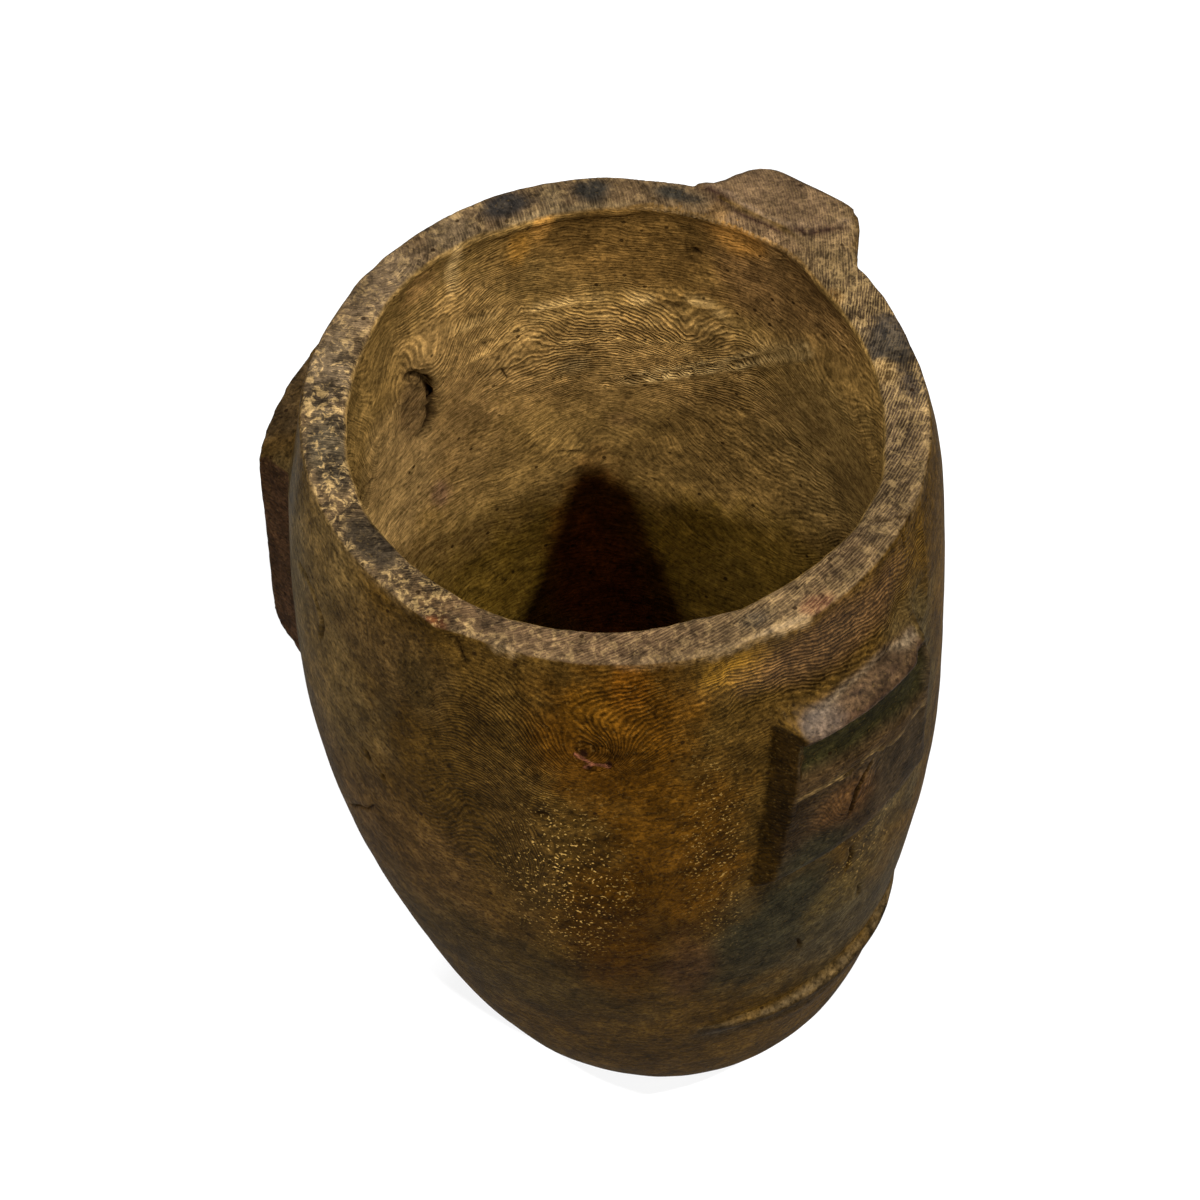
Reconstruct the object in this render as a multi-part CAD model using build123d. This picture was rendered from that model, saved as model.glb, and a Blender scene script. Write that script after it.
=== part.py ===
"""Carved wooden milk pail: one hollowed log with a rim lug, two knee panels and two foot ledges.

Millimetres. The origin is the centre of the flat base and +Z is up. The rim lug points to +Y.
Depths are measured down from the rim, heights up from the base.
Angles are measured about Z from +X.
"""
import os
from math import cos, pi, radians, sin

from build123d import *

# Body
height = 322.0
rim_radius = 100.0
shoulder_depth = 45.0
shoulder_radius = 107.8
belly_depth = 100.0
belly_radius = 111.0
flank_height = 142.0
flank_radius = 107.1
taper_height = 87.0
taper_radius = 97.5
heel_height = 37.0
heel_radius = 85.5
base_radius = 62.0
base_round = 5.0

# Lean: the axis bends away from the rim's centre by this much at the base
lean = 21.0
lean_angle = 34.0

# Hollow
rim_wall = 16.5
wall = 16.3
floor_thickness = 28.0
bowl_depth = 62.0
bowl_turns = (0.0, 0.33, 0.62, 0.86)
rim_outer_round = 2.0
rim_inner_round = 2.5

# Rim lug
lug_angle = 90.0
lug_reach = 18.5
lug_root_inset = 5.0
lug_root_width = 64.0
lug_tip_width = 39.0
lug_corner = 11.0
lug_rise = 1.5
lug_height = 30.0
lug_underside = 18.0
lug_edge_round = 1.6

# Knee panels
panel_angle = {"left": 195.0, "right": 347.5}
panel_proud = {"left": 12.6, "right": 10.2}
panel_crest_depth = 39.5
panel_bottom_depth = 125.0
panel_top_width = 51.0
panel_bottom_width = 66.0
panel_top_side_slope = 0.15
panel_bottom_side_slope = 0.6
panel_ramp_depth = 5.0
panel_crest_bevel = 5.0
panel_foot_round = 14.0
panel_foot_drop = 0.62
panel_foot_draw = 0.25
panel_top_sink = 0.5
panel_foot_sink = 1.0
panel_core = 30.0
ramp_rise = {"left": 1.0, "right": 4.0}

# Foot ledges under the panels: low steps that thin out to both sides
ledge_depth = 232.0
ledge_proud = 3.0
ledge_half_angle = 36.0

# Knots: dead branch ends in sockets of their own
bark_gap = 0.3
knot_flare = 1.15
side_knot_angle = 175.5
side_knot_depth = 70.0
side_knot_radius = 9.5
side_knot_cover = 5.0
side_knot_shrink = 1.2
front_knot_angle = 300.0
front_knot_depth = 41.0
front_knot_radius = 4.8

# How far a raised part or a cutting tool reaches past the surface that it joins or cuts
bite = 6.0


def axis_point(depth):
    """Centre of the body's cross-section at a depth below the rim."""
    shift = lean * ((depth / height) ** 2 - 1.0)
    return Vector(shift * cos(radians(lean_angle)), shift * sin(radians(lean_angle)), height - depth)


outer_profile = [
    (0.0, rim_radius),
    (shoulder_depth, shoulder_radius),
    (belly_depth, belly_radius),
    (height - flank_height, flank_radius),
    (height - taper_height, taper_radius),
    (height - heel_height, heel_radius),
    (height, base_radius),
]


def body_radius(depth):
    """Outer radius at a depth, by straight interpolation between the profile's points."""
    for (top, top_radius), (low, low_radius) in zip(outer_profile, outer_profile[1:]):
        if depth <= low:
            return top_radius + (low_radius - top_radius) * (depth - top) / (low - top)
    return base_radius


def turned_body(profile):
    """Smooth solid through round sections, each centred on the leaning axis."""
    rings = [Plane(axis_point(depth)) * Circle(radius) for depth, radius in profile]
    return loft(rings)


def body_blank():
    """The log turned to its outer shape, still solid."""
    blank = turned_body(outer_profile)
    foot = blank.edges().sort_by(Axis.Z)[0]
    rim = blank.edges().sort_by(Axis.Z)[-1]
    return fillet(rim, rim_outer_round).fillet(base_round, [foot])


def hollow():
    """The inside: a mouth that widens under the rim and a bowl-shaped bottom."""
    bowl_top = height - floor_thickness - bowl_depth
    bowl_radius = body_radius(bowl_top) - wall
    upper = [(0.0, rim_radius - rim_wall)]
    for depth, radius in outer_profile[1:]:
        if depth < bowl_top - wall:
            upper.append((depth, radius - wall))
    bowl = []
    for turn in bowl_turns:
        angle = turn * pi / 2
        bowl.append((bowl_top + bowl_depth * sin(angle), bowl_radius * cos(angle)))
    above_rim = turned_body([(0.0, rim_radius - rim_wall), (-bite, rim_radius - rim_wall)])
    return turned_body(upper + bowl) + above_rim


def mouth_edges(body):
    """Edges at the rim's level that run round the opening."""
    band = rim_inner_round / 2
    level = body.edges().filter_by_position(Axis.Z, height - band, height + band)
    edges = []
    for edge in level:
        reach = (edge @ 0.5) - axis_point(0.0)
        if abs(reach.length - (rim_radius - rim_wall)) < band:
            edges.append(edge)
    return edges


def facing(angle, depth):
    """Plane through the axis at a depth, whose normal points outward and whose Y is up."""
    outward = Vector(cos(radians(angle)), sin(radians(angle)), 0)
    sideways = Vector(-sin(radians(angle)), cos(radians(angle)), 0)
    return Plane(origin=axis_point(depth), x_dir=sideways, z_dir=outward)


def panel_cutter(angle, depth, face_radius):
    """Block whose sides flare downward and spread inward from the panel's face to its foot."""
    faces = []
    for radius in (face_radius - panel_core, face_radius + bite):
        spread = face_radius - radius
        half_top = panel_top_width / 2 + spread * panel_top_side_slope
        half_bottom = panel_bottom_width / 2 + spread * panel_bottom_side_slope
        top = depth - panel_ramp_depth
        bottom = depth - panel_bottom_depth
        outline = Polygon(
            (-half_bottom, bottom), (half_bottom, bottom), (half_top, top), (-half_top, top),
            align=None,
        )
        faces.append(facing(angle, depth).offset(radius) * outline)
    return loft(faces, ruled=True)


def ring(depth, outline):
    """Solid turned about a vertical axis through the body's centre at a depth."""
    centre = axis_point(depth)
    side = Plane(origin=Vector(centre.X, centre.Y, height), x_dir=(1, 0, 0), z_dir=(0, -1, 0))
    return revolve(side * outline, Axis((centre.X, centre.Y, 0), (0, 0, 1)))


def knee_panel(side):
    """Raised plate under the rim: a ramp, a crest and an upright face with a rounded foot."""
    angle = panel_angle[side]
    crest = body_radius(panel_crest_depth) + panel_proud[side]
    ramp_end = panel_crest_depth - panel_crest_bevel
    ramp_radius = body_radius(ramp_end) + ramp_rise[side]
    foot_start = panel_bottom_depth - panel_foot_round
    foot_radius = body_radius(panel_bottom_depth)
    foot_bend = crest - (crest - foot_radius) * panel_foot_draw
    core = body_radius(0.0) - bite
    middle = (panel_crest_depth + panel_bottom_depth) / 2
    with BuildSketch() as section:
        with BuildLine():
            start = (body_radius(panel_ramp_depth) - panel_top_sink, -panel_ramp_depth)
            Line((core, -panel_ramp_depth), start)
            Line(start, (ramp_radius, -ramp_end))
            Line((ramp_radius, -ramp_end), (crest, -panel_crest_depth))
            face = Line((crest, -panel_crest_depth), (crest, -foot_start))
            foot = ThreePointArc(
                face @ 1,
                (foot_bend, -foot_start - panel_foot_round * panel_foot_drop),
                (foot_radius - panel_foot_sink, -panel_bottom_depth),
            )
            Line(foot @ 1, (core, -panel_bottom_depth))
            Line((core, -panel_bottom_depth), (core, -panel_ramp_depth))
        make_face()
    return ring(middle, section.sketch) & panel_cutter(angle, middle, crest)


def foot_ledge(side):
    """Step near the base: narrower rounds pushed outward, so the ledge thins out to both sides."""
    angle = panel_angle[side]
    push = ledge_proud / (1.0 - cos(radians(ledge_half_angle)))
    outward = Vector(cos(radians(angle)), sin(radians(angle)), 0)
    rounds = []
    for depth, radius in outer_profile[1:-1]:
        raised = ledge_proud if depth < height - heel_height else -bite
        centre = axis_point(depth) + outward * (push + raised)
        rounds.append(Plane(centre) * Circle(radius - push))
    size = 4 * belly_radius
    below = Pos(0, 0, height - ledge_depth - size / 2) * Box(size, size, size)
    return loft(rounds) & below


def rim_lug():
    """Flat-topped ear that stands out from the rim, with a slanted underside."""
    root = rim_radius - lug_root_inset
    tip = rim_radius + lug_reach
    plan = Polygon(
        (-lug_root_width / 2, root), (lug_root_width / 2, root),
        (lug_tip_width / 2, tip), (-lug_tip_width / 2, tip),
        align=None,
    )
    tip_corners = plan.vertices().sort_by(Axis.Y)[-2:]
    plan = fillet(tip_corners, lug_corner)
    centre = axis_point(0.0)
    turned = Pos(centre.X, centre.Y, height) * Rot(0, 0, lug_angle - 90.0)
    column = extrude(turned * Pos(0, 0, lug_rise) * plan, -(lug_rise + lug_height + lug_underside))
    outline = Polygon(
        (root, lug_rise), (tip, lug_rise), (tip, -lug_height), (root, -lug_height - lug_underside),
        align=None,
    )
    upright = Plane(origin=(0, 0, 0), x_dir=(0, 1, 0), z_dir=(1, 0, 0)) * outline
    side_cut = extrude(turned * upright, lug_root_width, both=True)
    lug = column & side_cut
    top_edges = lug.faces().sort_by(Axis.Z)[-1].edges()
    free_edges = top_edges.sort_by(lambda edge: (edge.center() - centre).length)[1:]
    return fillet(free_edges, lug_edge_round)


def knot_cone(angle, depth, radius, outer_end, gap=0.0):
    """Branch end that widens outward: it starts inside the hollow and stops at outer_end."""
    start = body_radius(depth) - wall - bite
    plane = facing(angle, depth)
    narrow = plane.offset(start) * Circle(radius + gap)
    wide = plane.offset(outer_end + gap) * Circle(radius * knot_flare + gap)
    return loft([narrow, wide])


print("body blank")
blank = body_blank()
inside = hollow()

carved = blank + rim_lug()
for side in panel_angle:
    carved += knee_panel(side)
    carved += foot_ledge(side)

print("knots")
side_end = body_radius(side_knot_depth) - side_knot_cover
front_end = body_radius(front_knot_depth) + bite
side_place = (side_knot_angle, side_knot_depth, side_knot_radius, side_end)
front_place = (front_knot_angle, front_knot_depth, front_knot_radius, front_end)
side_knot = knot_cone(*side_place) - inside
front_knot = (knot_cone(*front_place) & carved) - inside

print("hollowing")
carved -= inside
carved = fillet(mouth_edges(carved), rim_inner_round)
side_socket = knot_cone(*side_place, bark_gap)
shrunk_side = Vector(-sin(radians(side_knot_angle)), cos(radians(side_knot_angle)), -1.0)
carved -= side_socket
carved -= Pos(shrunk_side * -side_knot_shrink) * side_socket
carved -= knot_cone(*front_place, bark_gap)

parts = {
    "pail_body": carved,
    "side_knot": side_knot,
    "front_knot": front_knot,
}

os.makedirs("parts", exist_ok=True)
for name, solid in parts.items():
    print(name, round(solid.volume / 1000.0, 2), "cm3", len(solid.solids()), "solid")
    export_step(solid, f"parts/{name}.step")
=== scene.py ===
import math

import bpy
import numpy as np
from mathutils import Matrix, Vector, kdtree


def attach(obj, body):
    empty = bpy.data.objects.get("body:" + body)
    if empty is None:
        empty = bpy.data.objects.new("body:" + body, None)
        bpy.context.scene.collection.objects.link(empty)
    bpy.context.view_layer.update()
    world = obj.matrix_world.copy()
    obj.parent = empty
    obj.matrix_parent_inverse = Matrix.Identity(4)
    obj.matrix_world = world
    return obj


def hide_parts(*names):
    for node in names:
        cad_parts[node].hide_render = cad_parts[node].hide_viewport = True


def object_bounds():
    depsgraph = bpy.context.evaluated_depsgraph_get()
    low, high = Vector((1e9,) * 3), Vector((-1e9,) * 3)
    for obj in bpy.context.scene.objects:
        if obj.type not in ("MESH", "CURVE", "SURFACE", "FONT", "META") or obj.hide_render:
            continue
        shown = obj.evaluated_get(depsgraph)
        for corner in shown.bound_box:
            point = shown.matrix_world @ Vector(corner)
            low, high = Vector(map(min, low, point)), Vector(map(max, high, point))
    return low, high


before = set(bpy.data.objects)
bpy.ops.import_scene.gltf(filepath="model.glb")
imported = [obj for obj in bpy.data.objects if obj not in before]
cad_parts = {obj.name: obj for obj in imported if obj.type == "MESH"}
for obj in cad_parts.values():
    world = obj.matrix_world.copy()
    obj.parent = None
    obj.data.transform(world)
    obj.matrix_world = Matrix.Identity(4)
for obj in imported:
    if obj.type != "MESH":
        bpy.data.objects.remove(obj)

cadLow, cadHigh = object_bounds()
mm = 0.001
print("frame loaded:", ", ".join(sorted(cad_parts)))


def linearColour(hexColour):
    # sRGB hex to the linear values that Blender's sockets want
    channels = [int(hexColour[i:i + 2], 16) / 255 for i in (1, 3, 5)]
    return [c / 12.92 if c <= 0.04045 else ((c + 0.055) / 1.055) ** 2.4 for c in channels] + [1.0]


def addNode(tree, kind, inputs=None, **settings):
    # an input is a number, a colour, a vector or another node's output
    made = tree.nodes.new("ShaderNode" + kind)
    for name, value in settings.items():
        setattr(made, name, value)
    for name, value in (inputs or {}).items():
        if isinstance(value, bpy.types.NodeSocket):
            tree.links.new(value, made.inputs[name])
        elif isinstance(value, str):
            made.inputs[name].default_value = linearColour(value)
        else:
            made.inputs[name].default_value = value
    return made.outputs


def smoothStep(low, high, value):
    part = np.clip((value - low) / (high - low), 0, 1)
    return part * part * (3 - 2 * part)


def ripple(points, size, seed):
    # smooth random heights from -1 to 1, about one bump every size millimetres
    cell = points / size + 17.31 * seed
    low = np.floor(cell).astype(np.int64)
    part = cell - low
    ease = part * part * (3 - 2 * part)
    total = np.zeros(len(points))
    for corner in range(8):
        step = np.array([corner & 1, corner >> 1 & 1, corner >> 2 & 1])
        key = (low + step) * np.array([73856093, 19349663, 83492791])
        mixed = (key[:, 0] ^ key[:, 1] ^ key[:, 2]) + seed * 911
        mixed = (mixed * 2654435761) & 0xFFFFFFFF
        mixed = ((mixed ^ (mixed >> 15)) * 2246822519) & 0xFFFFFFFF
        total += np.prod(np.where(step, ease, 1 - ease), axis=1) * (mixed / 0xFFFFFFFF)
    return total * 2 - 1


def selectOnly(piece):
    bpy.ops.object.select_all(action="DESELECT")
    piece.select_set(True)
    bpy.context.view_layer.objects.active = piece


def applyModifier(piece, kind, **settings):
    selectOnly(piece)
    made = piece.modifiers.new(kind.lower(), kind)
    for name, value in settings.items():
        setattr(made, name, value)
    bpy.ops.object.modifier_apply(modifier=made.name)


def copyNode(nodeName, newName):
    # a merged copy of a CAD node's mesh, to shape further
    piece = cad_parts[nodeName].copy()
    piece.data = piece.data.copy()
    piece.name = newName
    piece.data.name = newName
    for key in [k for k in piece.keys() if k.startswith("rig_")]:
        del piece[key]
    bpy.context.scene.collection.objects.link(piece)
    selectOnly(piece)
    bpy.ops.object.mode_set(mode="EDIT")
    bpy.ops.mesh.select_all(action="SELECT")
    bpy.ops.mesh.remove_doubles(threshold=0.00001)
    bpy.ops.object.mode_set(mode="OBJECT")
    return piece


def readPoints(piece, what="co"):
    flat = np.empty(len(piece.data.vertices) * 3, np.float32)
    piece.data.vertices.foreach_get(what, flat)
    return flat.reshape(-1, 3).astype(float)


def setPoints(piece, points):
    piece.data.vertices.foreach_set("co", (points * mm).astype(np.float32).ravel())
    piece.data.update()


def refine(piece, chosen):
    # splits the faces between the chosen points in four
    selectOnly(piece)
    bpy.ops.object.mode_set(mode="EDIT")
    bpy.ops.mesh.select_mode(type="VERT")
    bpy.ops.mesh.select_all(action="DESELECT")
    bpy.ops.object.mode_set(mode="OBJECT")
    piece.data.vertices.foreach_set("select", chosen)
    bpy.ops.object.mode_set(mode="EDIT")
    bpy.ops.mesh.subdivide(number_cuts=1, ngon=False, quadcorner="STRAIGHT_CUT")
    bpy.ops.object.mode_set(mode="OBJECT")


def paint(piece, name, values):
    layer = piece.data.attributes.new(name, "FLOAT", "POINT")
    layer.data.foreach_set("value", values.astype(np.float32))


def paintColour(piece, name, colours):
    layer = piece.data.attributes.new(name, "FLOAT_COLOR", "POINT")
    flat = np.ones((len(colours), 4), np.float32)
    flat[:, :3] = colours
    layer.data.foreach_set("color", flat.ravel())


# camera at the photograph's angle: it looks down into the mouth
camera = {
    "place": (0.3427, -0.5547, 1.1065),
    "tilt": 36.271,
    "turn": 34.0,
    "lens": 96.0,
}
cameraData = bpy.data.cameras.new("camera")
cameraData.lens = camera["lens"]
cameraData.sensor_width = 36
cameraData.clip_start = 0.05
cameraData.clip_end = 30
cameraObject = bpy.data.objects.new("camera", cameraData)
cameraObject.location = camera["place"]
cameraObject.rotation_euler = (math.radians(camera["tilt"]), 0, math.radians(camera["turn"]))
bpy.context.scene.collection.objects.link(cameraObject)
bpy.context.scene.camera = cameraObject

# the carved pail; mm and degrees, depths run down from the rim, azimuths from +X
pail = {
    "height": 322.0,
    "lean": 21.0,
    "leanAngle": 34.0,
    "depths": (0, 45, 100, 180, 235, 285, 322),
    "radii": (100, 107.8, 111, 107.1, 97.5, 85.5, 62),
    "wall": 16.4,
    "floor": 28.0,
    "meshSize": 3.0,          # between points on the plain walls
    "sharpAngle": 9.0,        # a corner in the solid counts as an edge above this
    "edgeBand": 4.0,          # each side of an edge that gets a finer mesh
    "fineBand": 1.8,
    "pithReach": 104.8,       # the growth rings' centre, from the rim's centre
    "pithAzimuth": 174.6,
    "ledge": 232.0,
    # azimuth and radius of the mouth's edge and of the rim's outer edge, worn out of round
    "mouthEdge": [(0, 86), (15, 86.3), (25, 84.2), (40, 83.2), (50, 83), (62, 83), (72, 84), (80, 86.5), (85, 88),
                  (105, 88), (118, 88.2), (128, 87), (145, 86.5), (165, 86.8), (180, 86.5), (192, 84.6), (205, 84.4),
                  (220, 85), (232, 86.2), (245, 87), (262, 86.6), (275, 87), (290, 86.2), (303, 86), (312, 85),
                  (320, 84.5), (330, 85.5), (345, 84.8), (360, 86)],
    "outerEdge": [(0, 0.5), (20, 0.3), (38, -0.2), (50, -1.4), (60, -0.6), (70, 0), (108, 0.5), (118, 0.1), (130, 1.2),
                  (142, 1.1), (152, 0.4), (165, 0.1), (180, 0.2), (191, -0.3), (205, 0), (258, 0), (266, 0.6),
                  (271, 1.6), (276, -0.3), (300, -0.4), (318, -0.2), (330, -1.0), (340, 0.8), (360, 0.5)],
    # how strongly the rim shows its ring lines and its tan flecks, by azimuth
    "ringShare": [(0, 0.35), (24, 0.6), (36, 1), (55, 1), (72, 0.8), (86, 0.3), (120, 0.12), (200, 0.1), (290, 0.2), (325, 0.3), (342, 0.45), (360, 0.35)],
    "fleckShare": [(0, 0.35), (28, 0.6), (50, 0.75), (72, 0.6), (84, 0.15), (112, 0.12), (128, 0.3), (150, 0.35), (190, 0.5),
                   (212, 1), (266, 1), (282, 0.45), (330, 0.35), (360, 0.35)],
}
panels = {
    "right": {"azimuth": 347.5, "bottom": 125.0, "topHalf": 25.5},
    "left": {"azimuth": 195.0, "bottom": 125.0, "topHalf": 25.5},
    # on the right panel, mm across from its middle and depth: the crest bar's top, the worn streak's two edges
    "barTop": [(-30, 36), (-22, 32.5), (-7, 30), (11, 29.5), (26, 34)],
    "streakTop": [(-28, 60.4), (-17, 62.5), (-6, 63.5), (5, 63.5), (17, 66.2), (28, 68.1)],
    "streakLow": [(-33, 73.1), (-23, 73), (-9, 73.3), (0, 72.5), (12, 79.6), (24, 76.2)],
}


def axisShift(depth):
    shift = pail["lean"] * ((depth / pail["height"]) ** 2 - 1)
    turn = math.radians(pail["leanAngle"])
    return shift * math.cos(turn), shift * math.sin(turn)


def placeOf(points):
    # where each point lies on the pail
    depth = pail["height"] - points[:, 2]
    shiftX, shiftY = axisShift(np.clip(depth, 0, pail["height"]))
    outX, outY = points[:, 0] - shiftX, points[:, 1] - shiftY
    radius = np.hypot(outX, outY)
    wall = np.interp(depth, pail["depths"], pail["radii"])
    return {
        "points": points, "depth": depth, "outX": outX, "outY": outY, "radius": radius, "wall": wall,
        "azimuth": np.degrees(np.arctan2(outY, outX)) % 360,
        "inside": (radius < wall - pail["wall"] / 2) & (points[:, 2] > pail["floor"] / 2),
        "outward": np.stack([outX, outY, 0 * outX], 1) / np.maximum(radius, 1)[:, None],
    }


def turnFrom(spot, azimuth):
    return (spot["azimuth"] - azimuth + 180) % 360 - 180


def across(spot, azimuth):
    # mm round the wall from an azimuth
    return np.radians(turnFrom(spot, azimuth)) * spot["radius"]


def patch(spot, azimuth, depth, wide, tall, soft=0.5):
    # 1 inside an oval on the wall, fading to 0
    reach = np.hypot(across(spot, azimuth) / wide, (spot["depth"] - depth) / tall)
    return 1 - smoothStep(1 - soft, 1 + soft, reach)


def along(line, value):
    return np.interp(value, [a for a, b in line], [b for a, b in line])


def lineDistance(spot, line, radius):
    # mm from a line of (azimuth, depth) corners drawn on the wall, and the share of it gone by
    flatX = np.radians(turnFrom(spot, line[0][0])) * radius
    corners = [np.array([math.radians(a - line[0][0]) * radius, d]) for a, d in line]
    total = sum(np.linalg.norm(b - a) for a, b in zip(corners, corners[1:]))
    best, share, gone = np.full(len(flatX), 1e9), np.zeros(len(flatX)), 0.0
    for start, end in zip(corners, corners[1:]):
        run = end - start
        length = np.linalg.norm(run)
        part = np.clip(((flatX - start[0]) * run[0] + (spot["depth"] - start[1]) * run[1]) / length ** 2, 0, 1)
        reach = np.hypot(flatX - start[0] - part * run[0], spot["depth"] - start[1] - part * run[1])
        share = np.where(reach < best, (gone + part * length) / total, share)
        best = np.minimum(best, reach)
        gone += length
    return best, share


print("pail: even mesh from the solid")
solidCopy = copyNode("pail_body", "solidCopy")
carvedPail = copyNode("pail_body", "carvedPail")
selectOnly(solidCopy)
bpy.ops.object.mode_set(mode="EDIT")
bpy.ops.mesh.select_mode(type="EDGE")
bpy.ops.mesh.select_all(action="DESELECT")
bpy.ops.mesh.edges_select_sharp(sharpness=math.radians(pail["sharpAngle"]))
bpy.ops.object.mode_set(mode="OBJECT")
cornerPoints = []
solidPoints = readPoints(solidCopy) / mm
for edge in solidCopy.data.edges:
    if edge.select:
        start, end = (solidPoints[i] for i in edge.vertices)
        steps = max(1, int(np.linalg.norm(end - start) / 1.5))
        for i in range(steps + 1):
            cornerPoints.append(start + (end - start) * i / steps)
cornerTree = kdtree.KDTree(len(cornerPoints))
for i, corner in enumerate(cornerPoints):
    cornerTree.insert(corner, i)
cornerTree.balance()


def cornerDistance(points):
    return np.array([cornerTree.find(p)[2] for p in points])


# cracks and small marks as (azimuth, depth) lines, their half width and how deep they cut
outsideCracks = [
    {"line": [(232, 39), (236, 36), (240.9, 38.4), (242.7, 43), (242.9, 47), (241.8, 55)], "width": 0.9, "cut": 3.0},
    {"line": [(275.0, 2), (276.0, 6.6), (277.5, 12)], "width": 0.5, "cut": 1.3},
    {"line": [(244.6, 146), (249.5, 134), (252.3, 129), (255.6, 118.5)], "width": 0.5, "cut": 1.1},
    {"line": [(289.5, 72.6), (292.3, 71.5)], "width": 1.4, "cut": 1.0},
    {"line": [(255.3, 87), (255.9, 91)], "width": 0.8, "cut": 1.2},
    {"line": [(259.3, 92.5), (259.5, 95.5)], "width": 0.7, "cut": 1.6},
    {"line": [(348.6, 78.4), (345.2, 87.9), (343.9, 99.9)], "width": 0.55, "cut": 1.8},
    {"line": [(342.0, 72.0), (345.1, 72.5)], "width": 1.1, "cut": 2.2},
    {"line": [(347.3, 133), (347.6, 139), (346.2, 148)], "width": 0.7, "cut": 2.0},
    {"line": [(350.9, 169), (351.1, 177.6)], "width": 0.6, "cut": 1.6},
    {"line": [(336.1, 177.3), (337.0, 186.5)], "width": 0.7, "cut": 1.8},
    {"line": [(5, 0), (5.6, 6), (5.2, 9)], "width": 0.4, "cut": 0.9},
    {"line": [(31, 60), (33, 84), (32, 112), (34, 131)], "width": 0.7, "cut": 2.4},
    {"line": [(122, 36), (123, 58), (121.5, 77)], "width": 0.6, "cut": 2.0},
    {"line": [(205, 160), (206, 186), (204.6, 204)], "width": 0.6, "cut": 1.8},
]
insideCracks = [
    {"line": [(176.5, 50), (173.5, 54), (170.8, 62), (169.0, 74), (168.6, 84), (170.3, 90.5), (172.8, 94.5)],
     "width": 1.7, "cut": 2.8},
    {"line": [(106.0, 22.8), (107.4, 25)], "width": 1.5, "cut": 2.6},
    {"line": [(139, 137), (133, 139.5)], "width": 0.5, "cut": 0.8},
    {"line": [(150.5, 78), (148.8, 86)], "width": 0.5, "cut": 0.8},
    {"line": [(193, 81), (191, 83), (192, 86)], "width": 0.7, "cut": 1.0},
]


def nearCracks(spot, reach):
    found = np.zeros(len(spot["depth"]), bool)
    for cracks, side, radius in ((outsideCracks, ~spot["inside"], 108), (insideCracks, spot["inside"], 94)):
        for crack in cracks:
            found |= side & (lineDistance(spot, crack["line"], radius)[0] < reach)
    return found


applyModifier(carvedPail, "REMESH", mode="VOXEL", voxel_size=pail["meshSize"] * mm)
points = readPoints(carvedPail) / mm
spot = placeOf(points)
refine(carvedPail, (cornerDistance(points) < pail["edgeBand"]) | nearCracks(spot, 4.0))
points = readPoints(carvedPail) / mm
spot = placeOf(points)
upper = (spot["depth"] < 30) | ((spot["depth"] < 60) & ~spot["inside"])
refine(carvedPail, ((cornerDistance(points) < pail["fineBand"]) & upper) | nearCracks(spot, 2.2))
applyModifier(carvedPail, "SHRINKWRAP", target=solidCopy, wrap_method="NEAREST_SURFACEPOINT")
points = readPoints(carvedPail) / mm
spot = placeOf(points)
edgeReach = cornerDistance(points)
# plain walls are smoothed most, and the worn crests more than the other edges
atCrest = ~spot["inside"] & (np.abs(spot["depth"] - 37) < 7) & (spot["radius"] - spot["wall"] > 2.5)
plainShare = np.round(np.where(atCrest, 0.75, 0.15 + 0.85 * smoothStep(1.5, 7, edgeReach)), 1)
group = carvedPail.vertex_groups.new(name="plain")
for level in np.unique(plainShare):
    group.add(np.nonzero(plainShare == level)[0].tolist(), float(level), "REPLACE")
applyModifier(carvedPail, "SMOOTH", factor=0.5, iterations=7, vertex_group="plain")
carvedPail.vertex_groups.clear()

print("pail: worn rim, panels and lug")
points = readPoints(carvedPail) / mm
normals = readPoints(carvedPail, "normal")
# the mouth's edge is cut sharper than the solid's round
spot = placeOf(points)
cornerX, cornerZ = 86 - spot["radius"], 2.5 - spot["depth"]
onRound = spot["inside"] & (cornerX > 0) & (cornerZ > 0)
reach = np.maximum(np.hypot(cornerX, cornerZ), 0.1)
squared = 1 / np.maximum((np.abs(cornerX / reach) ** 6 + np.abs(cornerZ / reach) ** 6) ** (1 / 6), 0.5) - 1
points -= spot["outward"] * (onRound * cornerX * squared)[:, None]
points[:, 2] += onRound * cornerZ * squared
spot = placeOf(points)
inside, outside = spot["inside"], ~spot["inside"]
proud = np.maximum(spot["radius"] - spot["wall"], 0) * outside
move = np.zeros(len(points))          # mm outward from the axis
inRim = smoothStep(97, 87, spot["radius"]) * smoothStep(26, 2, spot["depth"])
move += inRim * (along(pail["mouthEdge"], spot["azimuth"]) - 84.4 + 0.25 * ripple(points, 4, 38))
outRim = outside * smoothStep(94, 99, spot["radius"]) * smoothStep(22, 2, spot["depth"]) * smoothStep(108, 103, spot["radius"])
move += outRim * (along(pail["outerEdge"], spot["azimuth"]) + 0.2 * ripple(points, 5, 36))
for side in ("right", "left"):
    away = np.abs(across(spot, panels[side]["azimuth"]))
    near = (away < 45) & (spot["depth"] > 3) & (spot["depth"] < panels[side]["bottom"] + 10) & outside
    # above the crest the ramp dies away to both sides
    fade = smoothStep(-3, 13, panels[side]["topHalf"] - away)
    fade = fade + (1 - fade) * smoothStep(28, 36, spot["depth"])
    move -= near * proud * (1 - fade)
side = across(spot, panels["right"]["azimuth"])
depth = spot["depth"]
onFace = outside * smoothStep(3.0, 5.5, proud) * smoothStep(31, 28.5, np.abs(side))
barTop = along(panels["barTop"], side)
streakTop = along(panels["streakTop"], side) + 2.0 * ripple(points, 7, 31)
streakLow = along(panels["streakLow"], side) + 1.8 * ripple(points, 4.5, 32)
hollowShare = smoothStep(41.0, 44.0, depth) * smoothStep(streakTop + 2, streakTop - 4, depth)
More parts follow.
